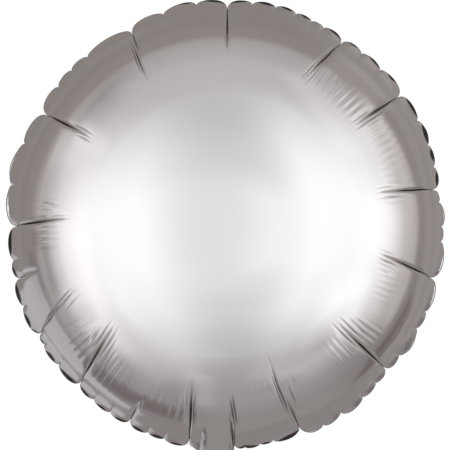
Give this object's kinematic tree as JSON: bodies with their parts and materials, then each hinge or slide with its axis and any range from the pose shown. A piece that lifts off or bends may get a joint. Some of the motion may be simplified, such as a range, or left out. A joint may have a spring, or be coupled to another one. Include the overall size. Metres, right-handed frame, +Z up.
{
  "type": "round foil balloon",
  "caption": "Inflated round party balloon of silver foil: two creased panels joined by a scalloped welded edge, with a flat filling tail that folds at its neck.",
  "frame": {"origin": "centre of the gas chamber, halfway between the two panels", "axes": "+Z up towards the rim opposite the tail, +Y through the disc from the front panel to the back panel, +X to the right seen from the front"},
  "size_m": [0.3451, 0.2002, 0.4235],
  "materials": {
    "foil": "satin metallised film",
    "weld": "heat-sealed, duller than the foil",
    "valve_film": "clear film"
  },
  "bodies": {
    "envelope": {"front_panel": "foil", "back_panel": "foil", "edge_seam": "weld"},
    "tail": {"tail_front": "foil", "tail_back": "foil", "tail_weld_left": "weld", "tail_weld_right": "weld", "valve_film_front": "valve_film", "valve_film_back": "valve_film"}
  },
  "joints": [
    {"name": "tail_fold", "type": "hinge", "parent": "envelope", "child": "tail", "pos_m": [-0.0055, 0, -0.1819], "axis": [1, 0, 0], "range_deg": [-90, 90]}
  ]
}
